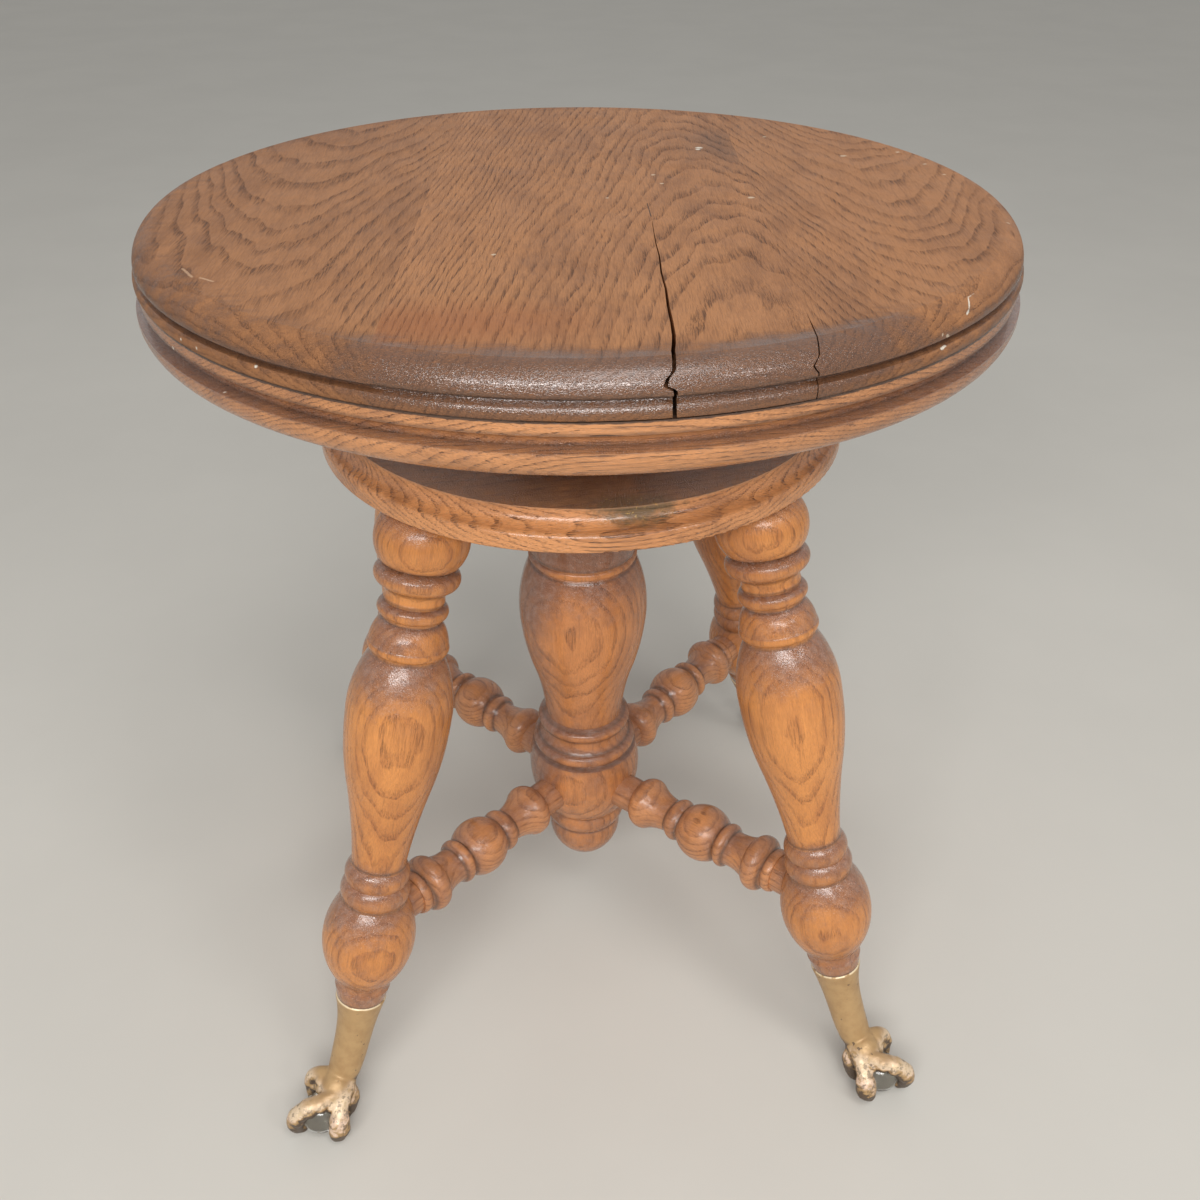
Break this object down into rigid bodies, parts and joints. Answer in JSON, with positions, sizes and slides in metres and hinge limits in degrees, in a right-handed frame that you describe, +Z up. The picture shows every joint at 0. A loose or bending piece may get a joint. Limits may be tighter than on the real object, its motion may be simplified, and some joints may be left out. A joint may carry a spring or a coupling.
{
  "type": "piano stool",
  "caption": "Round adjustable piano stool: oak seat on a central lifting screw over a disc base with splayed turned legs, stretchers, and claw feet gripping glass balls",
  "frame": {"origin": "on the floor, under the centre of the seat and the lifting screw", "axes": "+Z up along the lifting screw; +Y from the front of the seat to its back, with the legs on the diagonals"},
  "size_m": [0.359, 0.359, 0.417],
  "materials": {
    "seat_oak": "aged dark varnish over oak, crazed and worn",
    "base_oak": "aged dark varnish over oak",
    "leg_oak": "amber varnish over turned oak, darkened on its upward faces",
    "stretcher_oak": "amber varnish over turned oak",
    "gilt_iron": "old gold paint over cast iron, worn through on the claws",
    "ball_glass": "clear smoky glass",
    "black_iron": "blackened cast iron",
    "screw_steel": "dark oiled steel",
    "small_screws": "darkened steel wood screws"
  },
  "bodies": {
    "base": {"base_disc": "base_oak", "centre_post": "base_oak", "leg_1": "leg_oak", "leg_2": "leg_oak", "leg_3": "leg_oak", "leg_4": "leg_oak", "stretcher_1": "stretcher_oak", "stretcher_2": "stretcher_oak", "stretcher_3": "stretcher_oak", "stretcher_4": "stretcher_oak", "claw_foot_1": "gilt_iron", "claw_foot_2": "gilt_iron", "claw_foot_3": "gilt_iron", "claw_foot_4": "gilt_iron", "glass_ball_1": "ball_glass", "glass_ball_2": "ball_glass", "glass_ball_3": "ball_glass", "glass_ball_4": "ball_glass", "screw_nut": "black_iron", "nut_screws": "small_screws"},
    "lift": {"lift_screw": "screw_steel"},
    "seat": {"seat_board_left": "seat_oak", "seat_board_centre": "seat_oak", "seat_board_right": "seat_oak", "seat_under_board": "seat_oak", "seat_plate": "black_iron", "seat_plate_screws": "small_screws"}
  },
  "joints": [
    {"name": "seat_lift", "type": "slide", "parent": "base", "child": "lift", "axis": [0, 0, 1], "range_m": [0, 0.116]},
    {"name": "seat_turn", "type": "hinge", "parent": "lift", "child": "seat", "pos_m": [0, 0, 0.4], "axis": [0, 0, 1], "range_deg": [0, 6570]}
  ],
  "couplings": [
    {"joint": "seat_lift", "follows": "seat_turn", "m_per_rad": 0.0010106}
  ]
}
